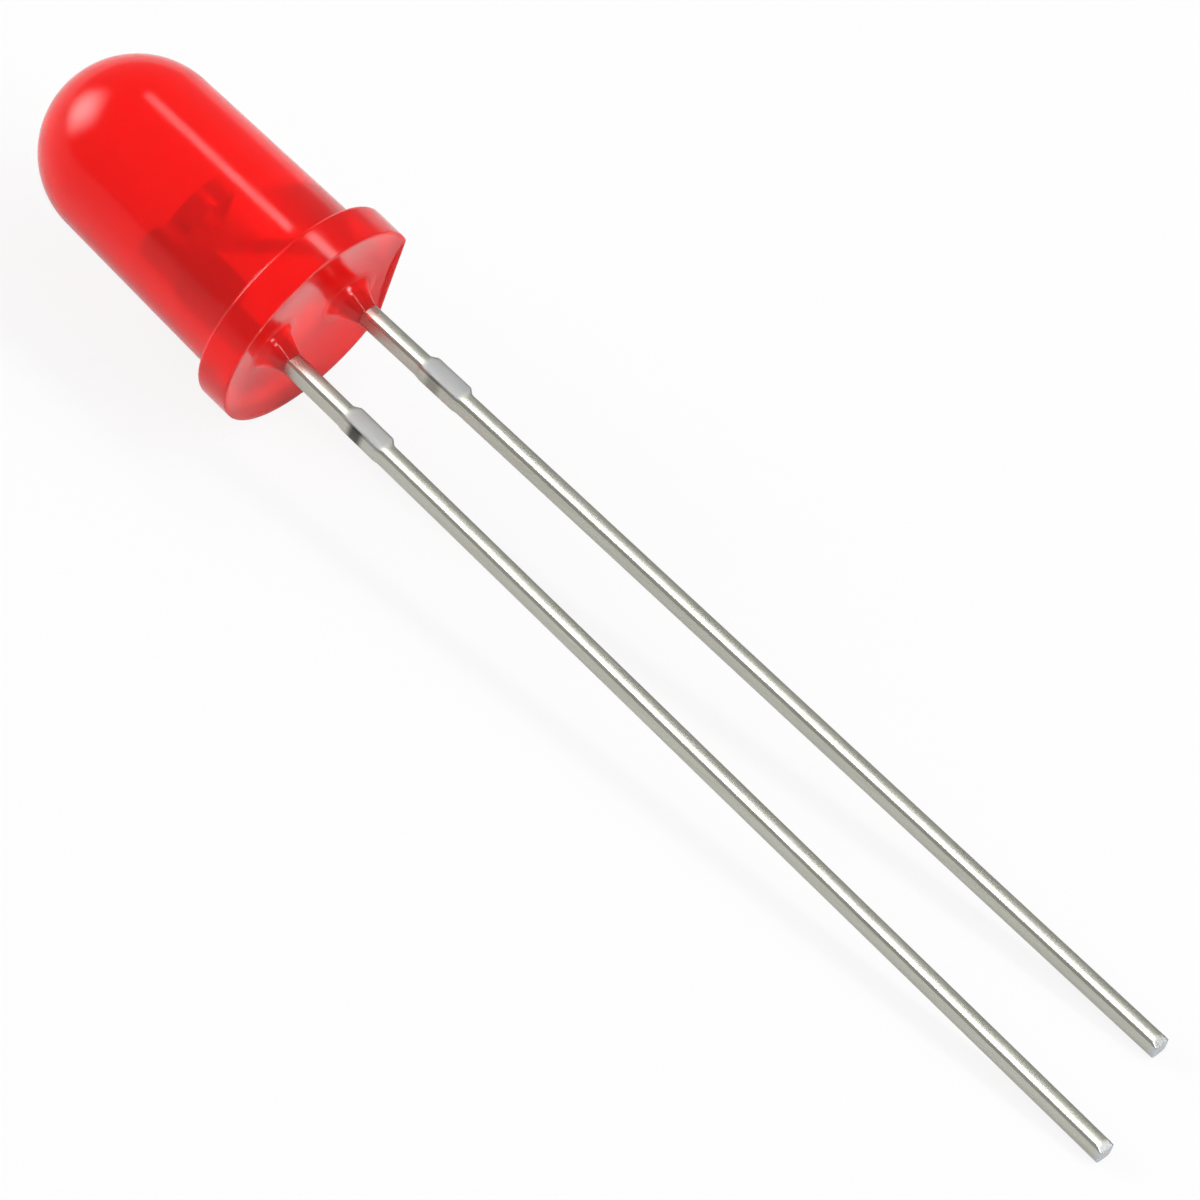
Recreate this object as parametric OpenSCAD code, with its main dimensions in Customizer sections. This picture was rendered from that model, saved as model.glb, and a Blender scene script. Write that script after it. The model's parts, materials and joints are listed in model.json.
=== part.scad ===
// Through-hole light-emitting diode: a domed epoxy lens, cast round a stamped two-legged lead frame.
// The diode is drawn upright, with its axis on Z and the flange's rim at Z = 0, the anode towards +X.
// It is then laid down as it comes to rest: on the flange's rim and on the tips of both leads.

/* [Lens] */
// Diameter of the lens body where it leaves the flange
body_d = 5; // [4.6:0.05:5.3]
// Height of the lens, from the flange's rim to the top of the dome
lens_h = 8.6; // [7.5:0.1:10]
// Draft of the body's wall on each side, in degrees
body_draft = 1.5; // [0:0.1:2.5]
// Diameter of the flange
flange_d = 5.9; // [5.7:0.05:6.4]
// Thickness of the flange
flange_t = 1; // [0.7:0.05:1.4]
// Radius of the flange's upper edge
flange_edge_r = 0.13; // [0.05:0.01:0.3]
// Depth of the flat in the flange's edge that marks the cathode
flat_depth = 0.4; // [0.2:0.01:0.42]

/* [Underside] */
// Width of the flat rim that stands round the hollow underside
rim_w = 0.1; // [0.05:0.01:0.2]
// Depth of the hollow that the resin left as it set
dish_depth = 0.28; // [0.1:0.02:0.4]
// How far the resin creeps down each lead, below the rim
creep_drop = 0.45; // [0.2:0.05:0.9]

/* [Leads] */
// Distance between the leads at the flange
lead_pitch = 2.54; // [2.4:0.02:2.7]
// Width and thickness of the square leads
lead_w = 0.48; // [0.4:0.01:0.55]
// Length of the cathode lead below the rim
cathode_len = 26.7; // [15:0.1:30]
// Length of the anode lead below the rim, the longer of the two
anode_len = 28; // [16:0.1:32]
// Angle at which the cathode lead spreads away from the axis
cathode_splay = 1.4; // [0:0.1:2]
// Angle at which the anode lead spreads away from the axis
anode_splay = 0.1; // [0:0.1:2]
// Distance from the rim to the stubs of the cut dam bar
dam_drop = 2.3; // [1.5:0.1:5]
// Height of the dam bar's stubs
dam_h = 1.4; // [0.8:0.1:2]
// How far the sheared stub stands out of each lead
dam_stub = 0.13; // [0.05:0.01:0.25]
// How far the burr on the other side stands out
dam_burr = 0.03; // [0.01:0.01:0.1]
// Length of the bevel at the tip of each lead
tip_bevel_len = 0.2; // [0.1:0.02:0.4]
// Depth of the bevel at the tip of each lead
tip_bevel_depth = 0.07; // [0.02:0.01:0.15]

/* [Lead frame] */
// Height at which the legs widen inside the lens
knee_h = 1.2; // [1:0.05:1.5]
// How far the wings stand out beyond the legs
wing_out = 0.21; // [0.1:0.01:0.3]
// Height of the slope at the foot and at the top of each wing
wing_slope_h = 0.25; // [0.15:0.01:0.35]
// Height of the wings' upper corners
wing_top_h = 2.6; // [2.2:0.05:2.8]
// Gap between the anvil and the anode's flag
frame_gap = 0.4; // [0.3:0.02:0.5]
// How far the anode's flag reaches inwards from its leg
flag_reach = 0.5; // [0.3:0.02:0.6]
// Width of the anode's post
post_w = 0.46; // [0.35:0.01:0.5]
// Height of the anode's post
post_top_h = 4.15; // [4:0.01:4.3]

/* [Reflector cup] */
// Height of the cup's rim
cup_top_h = 4.1; // [3.95:0.01:4.2]
// Outside diameter of the cup
cup_d = 1.2; // [1:0.02:1.3]
// Width of the cup's rim
cup_rim_w = 0.09; // [0.05:0.01:0.15]
// Depth of the cup
cup_depth = 0.4; // [0.3:0.01:0.5]
// Diameter of the cup's floor
cup_floor_d = 0.56; // [0.5:0.01:0.66]
// Thickness of the metal below the cup's floor
cup_floor_t = 0.2; // [0.1:0.01:0.3]
// Height of the cone that carries the cup
cup_cone_h = 0.3; // [0.2:0.01:0.4]

/* [Die and wire] */
// Width of the square die
die_w = 0.3; // [0.2:0.01:0.34]
// Height of the die
die_h = 0.22; // [0.15:0.01:0.26]
// Diameter of the adhesive pad below the die
attach_d = 0.48; // [0.45:0.01:0.5]
// Thickness of the adhesive pad
attach_t = 0.03; // [0.02:0.005:0.05]
// Diameter of the bond wire
wire_d = 0.03; // [0.025:0.001:0.04]
// Diameter of the ball that bonds the wire to the die
ball_d = 0.09; // [0.07:0.005:0.11]
// Height of that ball
ball_h = 0.04; // [0.035:0.005:0.05]
// Height of the wire's loop above the line between its ends
loop_h = 0.42; // [0.3:0.02:0.5]
// Diameter of the stitch that bonds the wire to the post
stitch_d = 0.1; // [0.08:0.005:0.12]
// Thickness of that stitch
stitch_t = 0.03; // [0.028:0.002:0.04]

/* [Hidden] */
$fn = 72;

// Skin of resin left over the corners of a lead where the creep ends
creep_skin = 0.02;
// How far a cut runs past the face that it opens
overrun = 0.5;
// Length of the ramps at both ends of a dam bar's stub
dam_ramp = 0.16;

// Radii and half widths
body_r = body_d / 2;
flange_r = flange_d / 2;
cup_r = cup_d / 2;
lead_half = lead_w / 2;
lead_x = lead_pitch / 2;
leg_out = lead_x + lead_half;
leg_in = lead_x - lead_half;
flat_to_axis = flange_r - flat_depth;

// The dome is a sphere that the drafted wall runs into without an edge
dome_r = (body_r - tan(body_draft) * (lens_h - flange_t)) * cos(body_draft) / (1 - sin(body_draft));
dome_z = lens_h - dome_r;
tangent_r = dome_r * cos(body_draft);
tangent_z = dome_z + dome_r * sin(body_draft);

// The hollow underside is part of a large sphere, and the creep round each lead a concave fillet
dish_r = flange_r - rim_w;
dish_sphere_r = (dish_r * dish_r + dish_depth * dish_depth) / (2 * dish_depth);
creep_r = lead_half * sqrt(2) + creep_skin;
creep_fillet_r = creep_drop + dish_depth;

// Levels of the cup, the die and the wire
cup_floor_h = cup_top_h - cup_depth;
head_h = cup_floor_h - cup_floor_t;
die_floor_h = cup_floor_h + attach_t;
die_top_h = die_floor_h + die_h;
post_x = leg_out - post_w / 2;

// The wire's loop is an arc between the middle of the ball and the middle of the stitch
wire_start = [0, die_top_h + ball_h / 2];
wire_end = [post_x, post_top_h + stitch_t / 2];
wire_middle = (wire_start + wire_end) / 2;
wire_half_chord = norm(wire_end - wire_start) / 2;
wire_tilt = atan2(wire_end[1] - wire_start[1], wire_end[0] - wire_start[0]);
wire_loop_r = (wire_half_chord * wire_half_chord + loop_h * loop_h) / (2 * loop_h);
wire_half_angle = asin(wire_half_chord / wire_loop_r);

// The anode's flag follows the anvil's slanting edge at the width of the gap
anvil_run = cup_r + leg_in;
anvil_rise = head_h - knee_h;
anvil_edge = norm([anvil_run, anvil_rise]);
function gap_edge_h(x) =
    knee_h + ((x + leg_in) * anvil_rise - frame_gap * anvil_edge) / anvil_run;

// A point on a lead that spreads from the rim: sideways from its middle line, and down its length
function on_lead(x, splay, side, down) =
    [x + side * cos(splay) + down * sin(splay), side * sin(splay) - down * cos(splay)];

// Outline of a leg below the rim: down its -X side with the stub, round the tip, and up with the burr
function leg_outline(x, splay, len) = [
    for (p = [
        [-lead_half, 0],
        [-lead_half, dam_drop],
        [-lead_half - dam_stub, dam_drop + dam_ramp],
        [-lead_half - dam_stub, dam_drop + dam_h - dam_ramp],
        [-lead_half, dam_drop + dam_h],
        [-lead_half, len],
        [lead_half, len],
        [lead_half, dam_drop + dam_h],
        [lead_half + dam_burr, dam_drop + dam_h - dam_ramp],
        [lead_half + dam_burr, dam_drop + dam_ramp],
        [lead_half, dam_drop],
        [lead_half, 0],
    ]) on_lead(x, splay, p[0], p[1])
];

// Resting plane: through the lower corner of each tip, touching the circle of the flange's rim.
// Its upward normal, seen from the upright diode, is along [rest_side, 1, rest_lean].
anode_tip = on_lead(lead_x, anode_splay, -lead_half, anode_len);
cathode_tip = on_lead(-lead_x, -cathode_splay, -lead_half, cathode_len);
tip_slope = (cathode_tip[1] - anode_tip[1]) / (anode_tip[0] - cathode_tip[0]);
tip_reach = -anode_tip[1] - tip_slope * anode_tip[0];
lean_a = tip_reach * tip_reach - flange_r * flange_r * tip_slope * tip_slope;
lean_b = lead_w * tip_reach;
lean_c = lead_half * lead_half - flange_r * flange_r;
rest_lean = (sqrt(lean_b * lean_b - 4 * lean_a * lean_c) - lean_b) / (2 * lean_a);
rest_side = tip_slope * rest_lean;

// Axes of the table seen from the upright diode: up, along the leads, and across
up = [rest_side, 1, rest_lean] / norm([rest_side, 1, rest_lean]);
axis_on_table = [0, 0, -1] + up[2] * up;
along = axis_on_table / norm(axis_on_table);
across = cross(up, along);

// The box of the diode as it lies, which puts its middle over the origin
flat_half = sqrt(flange_r * flange_r - flat_to_axis * flat_to_axis);
function tip_far(x, splay, len) = max([
    for (side = [-lead_half, lead_half], face = [-lead_half, lead_half])
        let (p = on_lead(x, splay, side, len)) [p[0], face, p[1]] * along
]);
x_low = dome_z * along[2] - dome_r;
x_high = max(tip_far(lead_x, anode_splay, anode_len), tip_far(-lead_x, -cathode_splay, cathode_len));
y_low = -flange_r;
y_high = max([for (side = [-flat_half, flat_half]) [-flat_to_axis, side, 0] * across]);
lift = -([anode_tip[0], -lead_half, anode_tip[1]] * up);

// Lays an upright piece on the table
module lay() {
    multmatrix([
        [along[0], along[1], along[2], -(x_low + x_high) / 2],
        [across[0], across[1], across[2], -(y_low + y_high) / 2],
        [up[0], up[1], up[2], lift],
        [0, 0, 0, 1],
    ]) children();
}

// A piece stamped from the frame's sheet, from its outline in X and Z
module stamped(outline) {
    rotate([90, 0, 0])
        linear_extrude(height = lead_w, center = true)
            polygon(outline);
}

// Wedge that bevels the upper face at the tip of a lead
module tip_bevel(x, splay, len) {
    translate([x, 0, 0])
        rotate([0, -splay, 0])
            translate([0, lead_half, -len])
                rotate([90, 0, 90])
                    linear_extrude(height = lead_w + 2 * overrun, center = true)
                        polygon([[-tip_bevel_depth, 0], [0, tip_bevel_len], [overrun, tip_bevel_len],
                                 [overrun, -overrun], [-tip_bevel_depth, -overrun]]);
}

// Half outline of the lens: flange, drafted body and dome
module lens_profile() {
    square([flange_r, flange_t - flange_edge_r]);
    square([flange_r - flange_edge_r, flange_t]);
    translate([flange_r - flange_edge_r, flange_t - flange_edge_r])
        circle(r = flange_edge_r);
    polygon([[0, flange_t - flange_edge_r], [body_r, flange_t - flange_edge_r], [body_r, flange_t],
             [tangent_r, tangent_z], [0, tangent_z]]);
    intersection() {
        translate([0, dome_z])
            circle(r = dome_r);
        translate([0, dome_z - dome_r])
            square([dome_r, 2 * dome_r]);
    }
}

// Outline of the flange's rim, moved inwards by a margin
module rim_outline(margin) {
    difference() {
        circle(r = flange_r - margin);
        translate([-flange_d - flat_to_axis + margin, -flange_d / 2])
            square([flange_d, flange_d]);
    }
}

// The lens before anything is set in it: cast body, cathode flat, hollow underside, creep on the leads
module cast_body() {
    difference() {
        rotate_extrude() lens_profile();
        translate([-flange_d - flat_to_axis, -flange_d / 2, -overrun])
            cube([flange_d, flange_d, overrun + flange_t]);
        intersection() {
            translate([0, 0, dish_depth - dish_sphere_r])
                sphere(r = dish_sphere_r);
            translate([0, 0, -overrun])
                linear_extrude(height = overrun + dish_depth)
                    rim_outline(rim_w);
        }
    }
    for (x = [-lead_x, lead_x])
        translate([x, 0, -creep_drop])
            rotate_extrude() creep_profile();
}

// Half outline of the resin that creeps down a lead
module creep_profile() {
    difference() {
        square([creep_r + creep_fillet_r, creep_fillet_r]);
        translate([creep_r + creep_fillet_r, 0])
            circle(r = creep_fillet_r);
    }
}

// Cathode, upright: leg, anvil, and the cup that is coined in the anvil's head
module cathode_upright() {
    outline = concat(leg_outline(-lead_x, -cathode_splay, cathode_len), [
        [-leg_in, knee_h],
        [cup_r, head_h],
        [-cup_r, head_h],
        [-leg_out - wing_out, wing_top_h],
        [-leg_out - wing_out, knee_h + wing_slope_h],
        [-leg_out, knee_h],
    ]);
    difference() {
        union() {
            stamped(outline);
            translate([0, 0, head_h - cup_cone_h])
                cylinder(r1 = lead_half, r2 = cup_r, h = cup_cone_h);
            translate([0, 0, head_h])
                cylinder(r = cup_r, h = cup_top_h - head_h);
        }
        tip_bevel(-lead_x, -cathode_splay, cathode_len);
        translate([0, 0, cup_floor_h])
            cylinder(d1 = cup_floor_d, d2 = cup_d - 2 * cup_rim_w, h = cup_depth);
        translate([0, 0, cup_top_h])
            cylinder(d = cup_d - 2 * cup_rim_w, h = overrun);
    }
}

// Anode, upright: leg, flag, and the post that takes the wire
module anode_upright() {
    flag_x = leg_in - flag_reach;
    post_in = leg_out - post_w;
    outline = concat(leg_outline(lead_x, anode_splay, anode_len), [
        [leg_out, knee_h],
        [leg_out + wing_out, knee_h + wing_slope_h],
        [leg_out + wing_out, wing_top_h],
        [leg_out, wing_top_h + wing_slope_h],
        [leg_out, post_top_h],
        [post_in, post_top_h],
        [post_in, gap_edge_h(post_in)],
        [flag_x, gap_edge_h(flag_x)],
        [flag_x, knee_h + wing_slope_h],
        [leg_in, knee_h],
    ]);
    difference() {
        stamped(outline);
        tip_bevel(lead_x, anode_splay, anode_len);
    }
}

// Adhesive pad, upright
module attach_upright() {
    translate([0, 0, cup_floor_h])
        cylinder(d = attach_d, h = attach_t);
}

// Die, upright
module die_upright() {
    translate([-die_w / 2, -die_w / 2, die_floor_h])
        cube([die_w, die_w, die_h]);
}

// Bond wire, upright: one loop from the ball on the die to the stitch on the post
module wire_upright() {
    translate([0, 0, die_top_h])
        cylinder(d = ball_d, h = ball_h);
    translate([wire_middle[0], 0, wire_middle[1]])
        rotate([90, -90 - wire_tilt, 0])
            translate([loop_h - wire_loop_r, 0, 0])
                rotate([0, 0, -wire_half_angle])
                    rotate_extrude(angle = 2 * wire_half_angle)
                        translate([wire_loop_r, 0])
                            circle(d = wire_d);
    translate([post_x, 0, post_top_h])
        cylinder(d = stitch_d, h = stitch_t);
}

module lens() {
    color([0.86, 0.06, 0.05, 0.8])
        lay() difference() {
            cast_body();
            cathode_upright();
            anode_upright();
            attach_upright();
            die_upright();
            wire_upright();
        }
}

module cathode_lead() {
    color([0.72, 0.72, 0.69])
        lay() cathode_upright();
}

module anode_lead() {
    color([0.72, 0.72, 0.69])
        lay() anode_upright();
}

module die_attach() {
    color([0.6, 0.6, 0.58])
        lay() attach_upright();
}

module led_die() {
    color([0.45, 0.2, 0.12])
        lay() die_upright();
}

module bond_wire() {
    color([0.83, 0.68, 0.3])
        lay() wire_upright();
}

lens();
cathode_lead();
anode_lead();
die_attach();
led_die();
bond_wire();
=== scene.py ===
"""A red through-hole light-emitting diode, lying on a pale table on its flange and the tips of its leads."""
import json
import math

import bmesh
import bpy
from mathutils import Matrix, Vector


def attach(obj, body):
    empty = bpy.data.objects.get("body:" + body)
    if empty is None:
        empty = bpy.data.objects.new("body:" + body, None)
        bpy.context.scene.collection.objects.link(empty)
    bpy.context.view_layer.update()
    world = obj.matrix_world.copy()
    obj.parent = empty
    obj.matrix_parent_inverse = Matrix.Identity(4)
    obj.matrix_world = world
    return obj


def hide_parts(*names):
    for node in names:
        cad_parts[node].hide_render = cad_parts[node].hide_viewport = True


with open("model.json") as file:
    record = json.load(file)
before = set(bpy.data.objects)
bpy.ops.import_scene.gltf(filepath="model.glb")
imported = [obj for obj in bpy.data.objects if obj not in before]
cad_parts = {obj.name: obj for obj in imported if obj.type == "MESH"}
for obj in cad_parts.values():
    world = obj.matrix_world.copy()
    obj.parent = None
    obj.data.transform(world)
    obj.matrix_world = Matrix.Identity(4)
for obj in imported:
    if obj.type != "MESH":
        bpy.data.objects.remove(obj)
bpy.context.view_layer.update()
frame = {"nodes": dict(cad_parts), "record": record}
scene = bpy.context.scene

# Camera: a long lens 0.4 m away, looking down on the diode and turned a little about its own axis.
camera_data = bpy.data.cameras.new("camera")
camera_data.sensor_width = 36
camera_data.lens = 510
camera_data.clip_start = 0.05
camera_data.clip_end = 20
camera_azimuth = math.radians(35.63)
camera_elevation = math.radians(49.42)
camera_roll = math.radians(12.11)
camera_target = Vector((-0.001106, 0.001733, -0.000245))
camera_distance = 0.4
back = Vector((
    math.sin(camera_azimuth) * math.cos(camera_elevation),
    -math.cos(camera_azimuth) * math.cos(camera_elevation),
    math.sin(camera_elevation),
))
level = Vector((math.cos(camera_azimuth), math.sin(camera_azimuth), 0))
right = level * math.cos(camera_roll) + back.cross(level) * math.sin(camera_roll)
camera = bpy.data.objects.new("camera", camera_data)
camera.matrix_world = Matrix.Translation(camera_target + back * camera_distance) @ Matrix(
    (right, back.cross(right), back)
).transposed().to_4x4()
scene.collection.objects.link(camera)
scene.camera = camera

# The diode's own axes as it lies, from its mounts: Z through the dome, X towards the anode, Y up from
# the flat lead frame. Its origin is the middle of the flange's rim.
mounts = {mount["name"]: mount for mount in frame["record"]["mounts"]}
seat = Vector(mounts["leads"]["pos_m"])
dome_way = -Vector(mounts["leads"]["axis"])
face_way = (Vector(mounts["flange_seat"]["pos_m"]) - seat).normalized()
anode_way = face_way.cross(dome_way)
laid = Matrix.Translation(seat) @ Matrix((anode_way, face_way, dome_way)).transposed().to_4x4()


# Lens: clear epoxy tinted red, cast head down in a polished cup round the finished lead frame. The resin
# shrank into a hollow underside as it set, and it crept down both leads.
def feed(tree, value, socket):
    """Links an output to a socket, or sets the socket's own value."""
    if isinstance(value, bpy.types.NodeSocket):
        tree.links.new(value, socket)
    else:
        socket.default_value = value


def calc(tree, operation, *values):
    """Adds a Math node and gives its output."""
    node = tree.nodes.new("ShaderNodeMath")
    node.operation = operation
    for value, socket in zip(values, node.inputs):
        feed(tree, value, socket)
    return node.outputs[0]


def step(tree, kind, output=0, **sockets):
    """Adds a node with its sockets fed by name, and gives one of its outputs."""
    node = tree.nodes.new(kind)
    for name, value in sockets.items():
        feed(tree, value, node.inputs[name.replace("_", " ")])
    return node.outputs[output]


def split(tree, vector):
    """Gives the three numbers of a vector."""
    node = tree.nodes.new("ShaderNodeSeparateXYZ")
    feed(tree, vector, node.inputs[0])
    return node.outputs


def stored(tree, geometry, name, value):
    """Stores a number on every point, under a name that the material reads."""
    node = tree.nodes.new("GeometryNodeStoreNamedAttribute")
    node.data_type = "FLOAT"
    for label, given_value in (("Geometry", geometry), ("Name", name), ("Value", value)):
        feed(tree, given_value, node.inputs[label])
    return node.outputs[0]


def new_tree(name, **inputs):
    """Makes a Geometry Nodes tree with named inputs, and gives the tree and its inputs by name."""
    tree = bpy.data.node_groups.new(name, "GeometryNodeTree")
    tree.interface.new_socket("Geometry", in_out="INPUT", socket_type="NodeSocketGeometry")
    for label, kind in inputs.items():
        tree.interface.new_socket(label, in_out="INPUT", socket_type="NodeSocket" + kind)
    tree.interface.new_socket("Geometry", in_out="OUTPUT", socket_type="NodeSocketGeometry")
    outputs = tree.nodes.new("NodeGroupInput").outputs
    return tree, {socket.name: socket for socket in outputs if socket.name}


def close_tree(tree, geometry, material):
    """Ends a tree with real geometry and its material."""
    geometry = step(tree, "GeometryNodeRealizeInstances", Geometry=geometry)
    geometry = step(tree, "GeometryNodeSetMaterial", Geometry=geometry, Material=material)
    tree.links.new(geometry, tree.nodes.new("NodeGroupOutput").inputs[0])


def grown(tree, name, mesh, settings):
    """Runs a tree on a mesh with its inputs set, and keeps the result as a plain piece laid on the table."""
    piece = bpy.data.objects.new(name, mesh)
    scene.collection.objects.link(piece)
    modifier = piece.modifiers.new(tree.name, "NODES")
    modifier.node_group = tree
    for item in tree.interface.items_tree:
        if item.in_out == "INPUT" and item.name in settings:
            modifier[item.identifier] = settings[item.name]
    result = bpy.data.meshes.new_from_object(piece.evaluated_get(bpy.context.evaluated_depsgraph_get()))
    piece.modifiers.remove(modifier)
    result.name = name
    result.transform(laid)
    piece.data = result
    return piece


body_r = 0.0025
lens_h = 0.0086
draft = math.radians(1.5)
flange_r = 0.00295
flange_t = 0.001
flange_edge_r = 0.00013
neck_r = 0.00006
flat_to_axis = 0.00255
rim_w = 0.0001
rim_edge_r = 0.00003
rim_lips = (0.00002, 0.000005)
dish_depth = 0.00028
creep_drop = 0.00045
creep_w = 0.00055
creep_curve = 2.6
creep_corner_share = 0.45
creep_ripple = 0.00006
creep_rings = 5
lead_x = 0.00127
lead_half = 0.00024
lens_columns = 288
column_crowding = 0.33
dome_rows = 64
wall_rows = 14
side_rows = 6
edge_rows = 8
dish_rows = 110
first_dish_step = 0.15
seam_w = 5e-8

dome_r = (body_r - math.tan(draft) * (lens_h - flange_t)) * math.cos(draft) / (1 - math.sin(draft))
dome_z = lens_h - dome_r
dish_r = flange_r - rim_w
dish_sphere_r = (dish_r**2 + dish_depth**2) / (2 * dish_depth)
wall_foot = (body_r - neck_r * 0.3, flange_t + neck_r * 2)


def arc(x, z, radius, start, end, rows):
    """Points on an arc in the lens's half outline, angles in degrees."""
    angles = [math.radians(start + (end - start) * i / rows) for i in range(rows + 1)]
    return [(x + radius * math.cos(a), z + radius * math.sin(a)) for a in angles]


def between_points(start, end, rows):
    """Points on a straight part of the lens's half outline, without its ends."""
    return [tuple(a + (b - a) * (i / rows) for a, b in zip(start, end)) for i in range(1, rows)]


# Half outline, from the top of the dome down to the rim. The second number of a row is 1 in the hollow.
outline = arc(0, dome_z, dome_r, 90, math.degrees(draft), dome_rows)
outline += between_points(outline[-1], wall_foot, wall_rows) + [wall_foot]
outline += arc(body_r + neck_r, flange_t + neck_r, neck_r, 180, 270, edge_rows)
outline += arc(flange_r - flange_edge_r, flange_t - flange_edge_r, flange_edge_r, 90, 0, edge_rows)
outline += between_points(outline[-1], (flange_r, rim_edge_r), side_rows)
outline += arc(flange_r - rim_edge_r, rim_edge_r, rim_edge_r, 0, -90, edge_rows)
rows = [(r, 0, z) for r, z in outline] + [(dish_r + lip, 0, 0) for lip in rim_lips] + [(dish_r, 1, 0)]
dish_steps = [(i + first_dish_step) / (dish_rows + first_dish_step) for i in range(dish_rows + 1)]
rows += [(dish_r * (1 - share), 1, 1) for share in dish_steps]
lens_rows = bpy.data.meshes.new("lens_rows")
lens_rows.from_pydata(rows, [(i, i + 1) for i in range(len(rows) - 1)], [])

tree, given = new_tree(
    "turned_lens", Columns="Int", Rows="Int", Body_radius="Float", Flange_radius="Float", Flat="Float",
    Rim="Float", Hollow_radius="Float", Hollow_depth="Float", Creep_drop="Float", Creep_width="Float",
    Ripple="Float", Lead_offset="Float", Lead_half="Float", Material="Material",
)
index = step(tree, "GeometryNodeInputIndex")
grid = step(
    tree, "GeometryNodeMeshGrid",
    Vertices_X=calc(tree, "ADD", given["Columns"], 1), Vertices_Y=given["Rows"],
)
column = calc(tree, "FLOOR", calc(tree, "DIVIDE", calc(tree, "ADD", index, 0.5), given["Rows"]))
row = calc(tree, "SUBTRACT", index, calc(tree, "MULTIPLY", column, given["Rows"]))
sample = tree.nodes.new("GeometryNodeSampleIndex")
sample.data_type = "FLOAT_VECTOR"
feed(tree, given["Geometry"], sample.inputs["Geometry"])
feed(tree, step(tree, "GeometryNodeInputPosition"), sample.inputs["Value"])
feed(tree, row, sample.inputs["Index"])
radius, hollow, height = split(tree, sample.outputs[0])
# Columns stand closer together towards both leads
turn = calc(tree, "MULTIPLY", calc(tree, "DIVIDE", column, given["Columns"]), -2 * math.pi)
crowding = calc(tree, "MULTIPLY", calc(tree, "SINE", calc(tree, "MULTIPLY", turn, 2)), column_crowding)
turn = calc(tree, "SUBTRACT", turn, crowding)
cosine = calc(tree, "COSINE", turn)
# In the hollow the rows shrink from the rim's inner outline, which the flat cuts short
inner = calc(tree, "SUBTRACT", given["Flange_radius"], given["Rim"])
inner_flat = calc(tree, "SUBTRACT", given["Flat"], given["Rim"])
reach = calc(tree, "DIVIDE", inner_flat, calc(tree, "MAXIMUM", calc(tree, "MULTIPLY", cosine, -1), 0.001))
reach = calc(tree, "DIVIDE", calc(tree, "MINIMUM", inner, reach), inner)
shrink = calc(tree, "MULTIPLY_ADD", calc(tree, "SUBTRACT", reach, 1), hollow, 1)
spread = calc(tree, "MULTIPLY", radius, shrink)
# Outside, rows that reach past the flat stop at it, each a little nearer the body than the last
beyond = calc(tree, "SUBTRACT", radius, given["Body_radius"])
slope = calc(
    tree, "DIVIDE", calc(tree, "SUBTRACT", given["Flat"], given["Body_radius"]),
    calc(tree, "SUBTRACT", given["Flange_radius"], given["Body_radius"]),
)
limit = calc(tree, "ADD", calc(tree, "MULTIPLY_ADD", beyond, slope, given["Body_radius"]), hollow)
x = calc(tree, "MAXIMUM", calc(tree, "MULTIPLY", spread, cosine), calc(tree, "MULTIPLY", limit, -1))
y = calc(tree, "MULTIPLY", spread, calc(tree, "SINE", turn))
# The hollow is part of a large sphere, and the resin drops from it along each lead
sphere = calc(tree, "MULTIPLY", given["Hollow_radius"], given["Hollow_radius"])
flat_square = calc(tree, "ADD", calc(tree, "MULTIPLY", x, x), calc(tree, "MULTIPLY", y, y))
under = calc(tree, "SQRT", calc(tree, "SUBTRACT", sphere, flat_square))
under = calc(tree, "ADD", under, calc(tree, "SUBTRACT", given["Hollow_depth"], given["Hollow_radius"]))
corner = calc(tree, "MULTIPLY", given["Lead_half"], creep_corner_share)
half = calc(tree, "SUBTRACT", given["Lead_half"], corner)
creep = 0.0
near = 0.0
for side in (-1, 1):
    from_lead = calc(tree, "MULTIPLY_ADD", given["Lead_offset"], side, x)
    dx = calc(tree, "MAXIMUM", calc(tree, "SUBTRACT", calc(tree, "ABSOLUTE", from_lead), half), 0)
    dy = calc(tree, "MAXIMUM", calc(tree, "SUBTRACT", calc(tree, "ABSOLUTE", y), half), 0)
    gap = calc(tree, "ADD", calc(tree, "MULTIPLY", dx, dx), calc(tree, "MULTIPLY", dy, dy))
    gap = calc(tree, "MAXIMUM", calc(tree, "SUBTRACT", calc(tree, "SQRT", gap), corner), 0)
    cling = calc(tree, "SUBTRACT", 1, calc(tree, "DIVIDE", gap, given["Creep_width"]))
    near = calc(tree, "MAXIMUM", near, cling)
    creep = calc(tree, "MAXIMUM", creep, calc(tree, "POWER", calc(tree, "MAXIMUM", cling, 0), creep_curve))
drop = calc(tree, "MULTIPLY", calc(tree, "ADD", under, given["Creep_drop"]), creep)
under = calc(tree, "SUBTRACT", under, drop)
# Faint rings in the creep, from the resin drawing back as it set
ring = calc(tree, "SINE", calc(tree, "MULTIPLY", near, creep_rings * math.pi))
ring = calc(tree, "MULTIPLY", ring, calc(tree, "MULTIPLY", near, calc(tree, "SUBTRACT", 1, near)))
under = calc(tree, "SUBTRACT", under, calc(tree, "MULTIPLY", ring, given["Ripple"]))
under = calc(tree, "MULTIPLY", under, height)
z = calc(tree, "ADD", height, calc(tree, "MULTIPLY", calc(tree, "SUBTRACT", under, height), hollow))
place = step(tree, "ShaderNodeCombineXYZ", X=x, Y=y, Z=z)
turned = step(tree, "GeometryNodeSetPosition", Geometry=grid, Position=place)
turned = stored(tree, turned, "film", calc(tree, "MULTIPLY", creep, hollow))
turned = step(tree, "GeometryNodeMergeByDistance", Geometry=turned, Distance=seam_w)
turned = step(tree, "GeometryNodeSetShadeSmooth", Geometry=turned)
close_tree(tree, turned, given["Material"])

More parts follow.
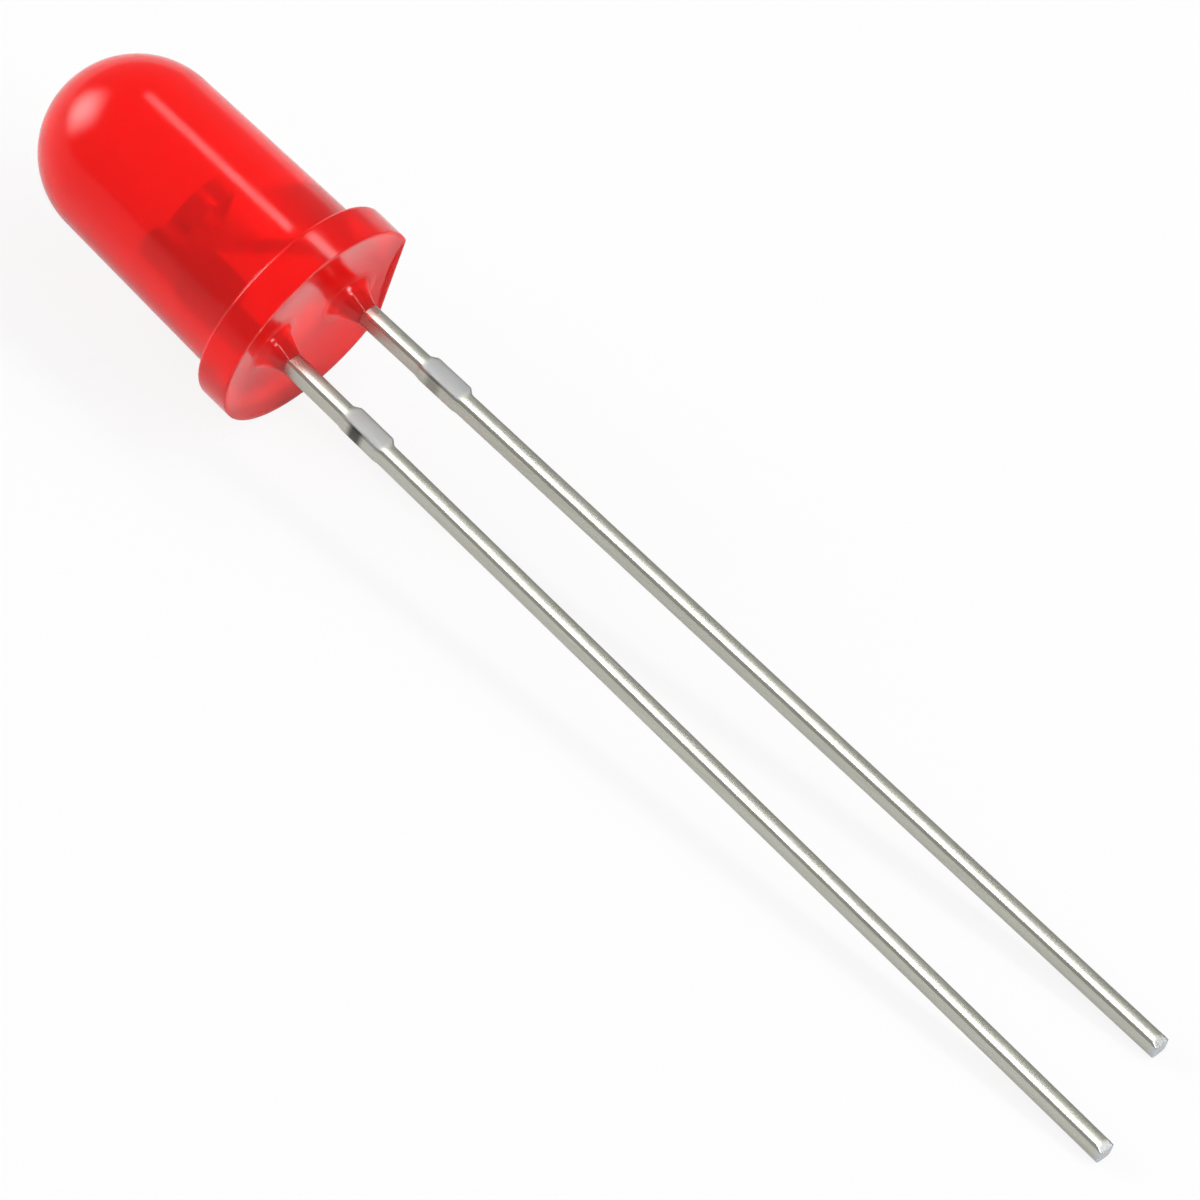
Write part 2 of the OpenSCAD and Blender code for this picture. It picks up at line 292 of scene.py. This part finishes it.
# Grain is the fine unevenness of a surface: noise drawn out along an axis, between a low and a high value
grain = bpy.data.node_groups.new("grain", "ShaderNodeTree")
for label, kind in (("Scale", "Float"), ("Stretch", "Vector"), ("Low", "Float"), ("High", "Float")):
    grain.interface.new_socket(label, in_out="INPUT", socket_type="NodeSocket" + kind)
grain.interface.new_socket("Value", in_out="OUTPUT", socket_type="NodeSocketFloat")
asked = grain.nodes.new("NodeGroupInput").outputs
drawn = grain.nodes.new("ShaderNodeVectorMath")
drawn.operation = "MULTIPLY"
feed(grain, step(grain, "ShaderNodeTexCoord", "Object"), drawn.inputs[0])
feed(grain, asked["Stretch"], drawn.inputs[1])
speck = step(grain, "ShaderNodeTexNoise", Vector=drawn.outputs[0], Scale=asked["Scale"], Detail=3)
speck = step(
    grain, "ShaderNodeMapRange", Value=speck, From_Min=0.3, From_Max=0.7,
    To_Min=asked["Low"], To_Max=asked["High"],
)
grain.links.new(speck, grain.nodes.new("NodeGroupOutput").inputs["Value"])


def grained(tree, scale, low=0, high=1, stretch=(1, 1, 1)):
    """Places the grain in a material with its own values, and gives the output."""
    node = tree.nodes.new("ShaderNodeGroup")
    node.node_tree = grain
    for label, value in (("Scale", scale), ("Stretch", stretch), ("Low", low), ("High", high)):
        node.inputs[label].default_value = value
    return node.outputs["Value"]


def between(tree, share, first, second):
    """Mixes two colours and gives the result."""
    node = tree.nodes.new("ShaderNodeMix")
    node.data_type = "RGBA"
    for value, socket in ((share, node.inputs[0]), (first, node.inputs[6]), (second, node.inputs[7])):
        feed(tree, value, socket)
    return node.outputs[2]


def marked(tree, name):
    """Gives the number that the mesh stores under a name."""
    node = tree.nodes.new("ShaderNodeAttribute")
    node.attribute_name = name
    return node.outputs["Fac"]


def new_material(name):
    """Makes a node material, and gives it with its tree and its surface's inputs."""
    material = bpy.data.materials.new(name)
    material.use_nodes = True
    return material, material.node_tree, material.node_tree.nodes["Principled BSDF"].inputs


# The creep set in the open, so it is glossier than the moulded faces, and paler as it thins out
resin_bright = (0.98, 0.006, 0.004, 1)
resin_deep = (0.92, 0.004, 0.003, 1)
resin_thin = (1, 0.02, 0.018, 1)
resin_tint = (0.979, 0.106, 0.0, 1)
film_gain = 3
film_gloss = 0.75
epoxy, paint, surface = new_material("tinted_epoxy")
film = marked(paint, "film")
cloud = between(paint, grained(paint, scale=500), resin_bright, resin_deep)
feed(paint, between(paint, film, cloud, resin_thin), surface["Base Color"])
gloss = calc(paint, "MINIMUM", calc(paint, "MULTIPLY", film, film_gain), film_gloss)
rough = grained(paint, scale=1500, low=0.12, high=0.18)
feed(paint, calc(paint, "MULTIPLY", rough, calc(paint, "SUBTRACT", 1, gloss)), surface["Roughness"])
ripple = step(paint, "ShaderNodeBump", Strength=0.1, Distance=0.00001, Height=grained(paint, scale=900))
feed(paint, ripple, surface["Normal"])
surface["Transmission Weight"].default_value = 0.6
surface["IOR"].default_value = 1.42
surface["Specular IOR Level"].default_value = 0.2
surface["Subsurface Weight"].default_value = 1
surface["Subsurface Radius"].default_value = (1, 0.08, 0.05)
surface["Subsurface Scale"].default_value = 0.0025
tint = step(paint, "ShaderNodeVolumeAbsorption", Color=resin_tint, Density=200)
feed(paint, tint, paint.nodes["Material Output"].inputs["Volume"])

lens = grown(tree, "lens_casting", lens_rows, {
    "Columns": lens_columns, "Rows": len(rows), "Body_radius": body_r, "Flange_radius": flange_r,
    "Flat": flat_to_axis, "Rim": rim_w, "Hollow_radius": dish_sphere_r, "Hollow_depth": dish_depth,
    "Creep_drop": creep_drop, "Creep_width": creep_w, "Ripple": creep_ripple, "Lead_offset": lead_x,
    "Lead_half": lead_half, "Material": epoxy,
})
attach(lens, "root")
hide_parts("lens")

# Leads: square legs of stamped steel with tin plating, rounded at the edges. The bar that tied them
# together was sheared off and left a stub, and their tips were cropped with a small bevel. The shadow in the
# shear's dent is painted dark onto the plating.
leg_w = 0.00048
leg_corner = 0.00005
leg_crown = 0.000022
leg_top = 0.0008
leg_stations = 560
leg_columns = 56
corner_columns = 8
head_cut = 0.00055
resin_edge = 0.0002
stub_drop = 0.0023
stub_h = 0.0014
stub_ramp = 0.00016
stub_out = 0.00013
stub_side_gain = 1.5
burr_out = 0.00003
sheared_lean = -0.3
sheared_edge = 0.55
# Where and how strongly the dent's painted shade is laid on: a dark band across the stub on one side face
dent_place = 0.4
dent_reach = 0.2
dent_shade_gain = 1.8
dent_side = 0.8
bevel_len = 0.0002
bevel_depth = 0.00007
end_slope = 0.9

tree, given = new_tree(
    "swept_leg", Top="Float", Length="Float", Width="Float", Corner="Float", Crown="Float",
    Stub_drop="Float", Stub_height="Float", Stub_ramp="Float", Stub_out="Float", Burr_out="Float",
    Bevel_length="Float", Bevel_depth="Float", Dent="Float", Offset="Float", Splay="Float",
    Stations="Int", Material="Material",
)
path = step(
    tree, "GeometryNodeCurvePrimitiveLine",
    Start=step(tree, "ShaderNodeCombineXYZ", Z=given["Top"]),
    End=step(tree, "ShaderNodeCombineXYZ", Z=calc(tree, "MULTIPLY", given["Length"], -1)),
)
path = step(tree, "GeometryNodeResampleCurve", Curve=path, Count=given["Stations"])
square = step(tree, "GeometryNodeCurvePrimitiveQuadrilateral", Width=given["Width"], Height=given["Width"])
fillet = tree.nodes.new("GeometryNodeFilletCurve")
fillet.mode = "POLY"
for name, value in (("Curve", square), ("Count", corner_columns), ("Radius", given["Corner"])):
    feed(tree, value, fillet.inputs[name])
profile = step(tree, "GeometryNodeResampleCurve", Curve=fillet.outputs[0], Count=leg_columns)
leg = step(tree, "GeometryNodeCurveToMesh", Curve=path, Profile_Curve=profile, Fill_Caps=True)
x, y, z = split(tree, step(tree, "GeometryNodeInputPosition"))
half = calc(tree, "DIVIDE", given["Width"], 2)
down = calc(tree, "MULTIPLY", z, -1)
# The faces are crowned: they fall away towards the edges
across = calc(tree, "DIVIDE", x, half)
upward = calc(tree, "DIVIDE", y, half)
crown = calc(tree, "DIVIDE", given["Crown"], half)
bulge_x = calc(tree, "SUBTRACT", 1, calc(tree, "MULTIPLY", crown, calc(tree, "MULTIPLY", upward, upward)))
bulge_y = calc(tree, "SUBTRACT", 1, calc(tree, "MULTIPLY", crown, calc(tree, "MULTIPLY", across, across)))
# The stub stands out on one side and its burr on the other, with ramps at both ends
start = calc(tree, "DIVIDE", calc(tree, "SUBTRACT", down, given["Stub_drop"]), given["Stub_ramp"])
stop = calc(tree, "ADD", given["Stub_drop"], given["Stub_height"])
stop = calc(tree, "DIVIDE", calc(tree, "SUBTRACT", stop, down), given["Stub_ramp"])
stub = calc(tree, "MINIMUM", calc(tree, "MINIMUM", start, stop), 1)
stub = calc(tree, "MAXIMUM", stub, 0)
sides = [
    calc(tree, "MINIMUM", calc(tree, "MAXIMUM", calc(tree, "MULTIPLY", across, gain), 0), 1)
    for gain in (-stub_side_gain, stub_side_gain)
]
shift = calc(
    tree, "SUBTRACT", calc(tree, "MULTIPLY", given["Burr_out"], sides[1]),
    calc(tree, "MULTIPLY", given["Stub_out"], sides[0]),
)
# The upper face is bevelled at the tip
left_over = calc(tree, "DIVIDE", calc(tree, "SUBTRACT", given["Length"], down), given["Bevel_length"])
left_over = calc(tree, "MAXIMUM", calc(tree, "SUBTRACT", 1, left_over), 0)
ceiling = calc(tree, "SUBTRACT", half, calc(tree, "MULTIPLY", left_over, given["Bevel_depth"]))
place = step(
    tree, "ShaderNodeCombineXYZ",
    X=calc(tree, "MULTIPLY_ADD", shift, stub, calc(tree, "MULTIPLY", x, bulge_x)),
    Y=calc(tree, "MINIMUM", calc(tree, "MULTIPLY", y, bulge_y), ceiling), Z=z,
)
# The plating reads where it is: out of the resin, on the stub and at the tip, and a painted shade stands for
# the shadow in the dent of the shear
outside = step(tree, "ShaderNodeMapRange", Value=down, From_Min=-resin_edge, From_Max=resin_edge)
# Painted shade: a dark band on the side face of the stub, standing for the shadow in the shear's dent
dent_drop = calc(tree, "MULTIPLY_ADD", given["Stub_height"], dent_place, given["Stub_drop"])
press = calc(tree, "ABSOLUTE", calc(tree, "SUBTRACT", down, dent_drop))
press = calc(tree, "DIVIDE", press, calc(tree, "MULTIPLY", given["Stub_height"], dent_reach))
painted_dent_shade = calc(tree, "MULTIPLY", calc(tree, "MAXIMUM", calc(tree, "SUBTRACT", 1, press), 0), dent_shade_gain)
painted_dent_shade = calc(tree, "MULTIPLY", calc(tree, "MINIMUM", painted_dent_shade, 1), given["Dent"])
painted_dent_shade = calc(tree, "MULTIPLY", painted_dent_shade, calc(tree, "GREATER_THAN", across, dent_side))
facing = calc(tree, "MULTIPLY_ADD", across, sheared_lean, upward)
sheared = calc(tree, "MULTIPLY", stub, calc(tree, "GREATER_THAN", facing, sheared_edge))
for name, value in (("outside", outside), ("stub", sheared), ("painted_dent_shade", painted_dent_shade), ("tip", left_over)):
    leg = stored(tree, leg, name, value)
leg = step(tree, "GeometryNodeSetPosition", Geometry=leg, Position=place)
slant = calc(tree, "ABSOLUTE", split(tree, step(tree, "GeometryNodeInputNormal"))[2])
is_side = calc(tree, "LESS_THAN", slant, end_slope)
leg = step(tree, "GeometryNodeSetShadeSmooth", Geometry=leg, Shade_Smooth=is_side)
leg = step(
    tree, "GeometryNodeTransform", Geometry=leg,
    Rotation=step(tree, "ShaderNodeCombineXYZ", Y=calc(tree, "MULTIPLY", given["Splay"], -1)),
    Translation=step(tree, "ShaderNodeCombineXYZ", X=given["Offset"]),
)
joined = tree.nodes.new("GeometryNodeJoinGeometry")
tree.links.new(leg, joined.inputs[0])
tree.links.new(given["Geometry"], joined.inputs[0])
close_tree(tree, joined.outputs[0], given["Material"])

tin_shade = (0.45, 0.45, 0.395, 1)
tin_pale = (0.505, 0.505, 0.445, 1)
tin_sheared = (0.39, 0.4, 0.395, 1)
tin_cropped = (0.5, 0.52, 0.54, 1)
# Near-black painted shade for the shadow in the shear's dent, not a colour of the plating
tin_painted_dent_shade = (0.08, 0.08, 0.07, 1)
tin_in_resin = (0.5, 0.5, 0.48, 1)
sheared_roughness = 0.22
tin, paint, surface = new_material("tin_plate")
marks = {name: marked(paint, name) for name in ("outside", "stub", "painted_dent_shade", "tip")}
plate = between(paint, grained(paint, scale=7000, stretch=(0.04, 1, 1)), tin_shade, tin_pale)
plate = between(paint, marks["stub"], plate, tin_sheared)
plate = between(paint, marks["tip"], plate, tin_cropped)
# The dent's painted shade darkens the plating there
plate = between(paint, marks["painted_dent_shade"], plate, tin_painted_dent_shade)
feed(paint, between(paint, marks["outside"], tin_in_resin, plate), surface["Base Color"])
rough = grained(paint, scale=9000, low=0.26, high=0.3, stretch=(0.05, 1, 1))
feed(paint, calc(paint, "MULTIPLY_ADD", marks["stub"], sheared_roughness, rough), surface["Roughness"])
surface["Metallic"].default_value = 1

# The last number sets how dark the painted shade in each lead's dent is
for node, side, length, splay, painted_dent_shade in (
    ("cathode_lead", -1, 0.0267, math.radians(-1.4), 0.5),
    ("anode_lead", 1, 0.028, math.radians(0.1), 1.0),
):
    # Inside the lens the lead goes on as a plain stamping
    head = bmesh.new()
    head.from_mesh(frame["nodes"][node].data)
    bmesh.ops.remove_doubles(head, verts=head.verts, dist=1e-7)
    bmesh.ops.transform(head, matrix=laid.inverted(), verts=head.verts)
    cut = bmesh.ops.bisect_plane(
        head, geom=head.verts[:] + head.edges[:] + head.faces[:], plane_co=(0, 0, head_cut),
        plane_no=(0, 0, -1), clear_outer=True,
    )
    bmesh.ops.holes_fill(head, edges=[e for e in cut["geom_cut"] if isinstance(e, bmesh.types.BMEdge)])
    bmesh.ops.recalc_face_normals(head, faces=head.faces)
    for face in head.faces:
        face.smooth = False
    head_mesh = bpy.data.meshes.new(node + "_head")
    head.to_mesh(head_mesh)
    head.free()
    lead = grown(tree, node + "_plated", head_mesh, {
        "Top": leg_top, "Length": length, "Width": leg_w, "Corner": leg_corner, "Crown": leg_crown,
        "Stub_drop": stub_drop, "Stub_height": stub_h, "Stub_ramp": stub_ramp, "Stub_out": stub_out,
        "Burr_out": burr_out, "Bevel_length": bevel_len, "Bevel_depth": bevel_depth, "Dent": painted_dent_shade,
        "Offset": side * lead_x, "Splay": splay, "Stations": leg_stations, "Material": tin,
    })
    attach(lead, "root")
    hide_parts(node)

# Die attach: a pad of silver-filled adhesive in the cup, dull and grainy, which holds the die and joins
# it to the cathode.
adhesive, paint, surface = new_material("silver_adhesive")
flakes = grained(paint, scale=60000)
feed(paint, between(paint, flakes, (0.5, 0.5, 0.48, 1), (0.68, 0.68, 0.66, 1)), surface["Base Color"])
feed(paint, grained(paint, scale=40000, low=0.5, high=0.7), surface["Roughness"])
surface["Metallic"].default_value = 0.4
frame["nodes"]["die_attach"].material_slots[0].material = adhesive

# Die: the crystal that gives the light, a small square sawn from a wafer, with faint saw marks on its
# sides. It stands on the adhesive in the middle of the cup.
crystal, paint, surface = new_material("semiconductor")
saw = grained(paint, scale=50000, stretch=(0.15, 1, 1))
feed(paint, between(paint, saw, (0.45, 0.2, 0.12, 1), (0.36, 0.15, 0.09, 1)), surface["Base Color"])
feed(paint, grained(paint, scale=50000, low=0.15, high=0.3, stretch=(0.15, 1, 1)), surface["Roughness"])
frame["nodes"]["led_die"].material_slots[0].material = crystal

# Bond wire: drawn gold, finer than a hair, welded to the top of the die as a ball and to the anode's
# post as a stitch.
gold, paint, surface = new_material("bond_gold")
drawing = grained(paint, scale=30000)
feed(paint, between(paint, drawing, (0.83, 0.68, 0.3, 1), (0.76, 0.6, 0.24, 1)), surface["Base Color"])
feed(paint, grained(paint, scale=40000, low=0.16, high=0.26), surface["Roughness"])
surface["Metallic"].default_value = 1
frame["nodes"]["bond_wire"].material_slots[0].material = gold


# Floor: a plain matt table that fills the view and keeps the diode's soft shadow. The camera, the resin
# and, in part, the plating see it as white.
def flat_sheet(name, half_x, half_y):
    """Makes a flat rectangle of the set, with its middle at the origin."""
    data = bpy.data.meshes.new(name)
    corners = [(-half_x, -half_y, 0), (half_x, -half_y, 0), (half_x, half_y, 0), (-half_x, half_y, 0)]
    data.from_pydata(corners, [], [(0, 1, 2, 3)])
    sheet = bpy.data.objects.new(name, data)
    scene.collection.objects.link(sheet)
    return sheet


floor_half = 1.5
floor_glow = 0.87
floor_in_gloss = 0.6
white, paint, surface = new_material("white_table")
surface["Base Color"].default_value = (0.6, 0.6, 0.6, 1)
surface["Roughness"].default_value = 1
surface["Specular IOR Level"].default_value = 0
rays = paint.nodes.new("ShaderNodeLightPath").outputs
seen = calc(paint, "MAXIMUM", rays["Is Camera Ray"], rays["Is Transmission Ray"])
seen = calc(paint, "MAXIMUM", seen, calc(paint, "MULTIPLY", rays["Is Glossy Ray"], floor_in_gloss))
both = paint.nodes.new("ShaderNodeMixShader")
feed(paint, calc(paint, "MULTIPLY", seen, floor_glow), both.inputs[0])
feed(paint, paint.nodes["Principled BSDF"].outputs[0], both.inputs[1])
feed(paint, step(paint, "ShaderNodeEmission", Strength=1), both.inputs[2])
feed(paint, both.outputs[0], paint.nodes["Material Output"].inputs["Surface"])
floor = flat_sheet("floor", floor_half, floor_half)
floor.data.materials.append(white)

# Light: a grey room, a strip softbox overhead along the diode, a soft window off the dome's end, a box
# off the lead tips, and an even fill from the leads' side that shows in no reflection.
world = bpy.data.worlds.new("room")
scene.world = world
world.use_nodes = True
world.node_tree.nodes["Background"].inputs["Color"].default_value = (0.45, 0.45, 0.45, 1)


def softbox(name, way, wide, long, along, radiance, soft, distance=0.5):
    """Adds a glowing panel that faces the diode, its longer side along a direction, with soft edges."""
    facing = Vector(way).normalized()
    side_y = (Vector(along) - facing * Vector(along).dot(facing)).normalized()
    half = (wide / 2, long / 2)
    panel = flat_sheet(name, *half)
    panel.matrix_world = Matrix.Translation(facing * distance) @ Matrix(
        (side_y.cross(facing), side_y, facing)
    ).transposed().to_4x4()
    panel.visible_camera = False
    cloth = bpy.data.materials.new(name)
    cloth.use_nodes = True
    tree = cloth.node_tree
    tree.nodes.remove(tree.nodes["Principled BSDF"])
    place = split(tree, step(tree, "ShaderNodeTexCoord", "Object"))
    strength = radiance
    for axis in (0, 1):
        fade = step(
            tree, "ShaderNodeMapRange", Value=calc(tree, "ABSOLUTE", place[axis]),
            From_Min=half[axis], From_Max=half[axis] * (1 - soft),
        )
        fade.node.interpolation_type = "SMOOTHSTEP"
        strength = calc(tree, "MULTIPLY", fade, strength)
    added = tree.nodes.new("ShaderNodeAddShader")
    feed(tree, step(tree, "ShaderNodeEmission", Strength=strength), added.inputs[0])
    feed(tree, step(tree, "ShaderNodeBsdfTransparent"), added.inputs[1])
    feed(tree, added.outputs[0], tree.nodes["Material Output"].inputs["Surface"])
    panel.data.materials.append(cloth)


softbox("strip", (0.2, 0.43, 0.899), wide=0.1, long=0.7, along=(1, 0, -0.1), radiance=8.5, soft=0.3)
softbox("window", (-0.885, -0.285, 0.37), wide=0.5, long=0.5, along=(0, 0, 1), radiance=11, soft=1)
softbox("side_box", (0.85, 0.2, 0.45), wide=0.25, long=0.25, along=(0, 0, 1), radiance=13, soft=0.6)
fill = bpy.data.lights.new("fill", "AREA")
fill.size = 1
fill.energy = 4
fill_way = Vector((0.75, 0.3, 0.6)).normalized()
fill_lamp = bpy.data.objects.new("fill", fill)
fill_lamp.matrix_world = Matrix.Translation(fill_way) @ fill_way.to_track_quat("Z", "Y").to_matrix().to_4x4()
fill_lamp.visible_glossy = False
fill_lamp.visible_transmission = False
scene.collection.objects.link(fill_lamp)

scene.view_settings.view_transform = "Standard"
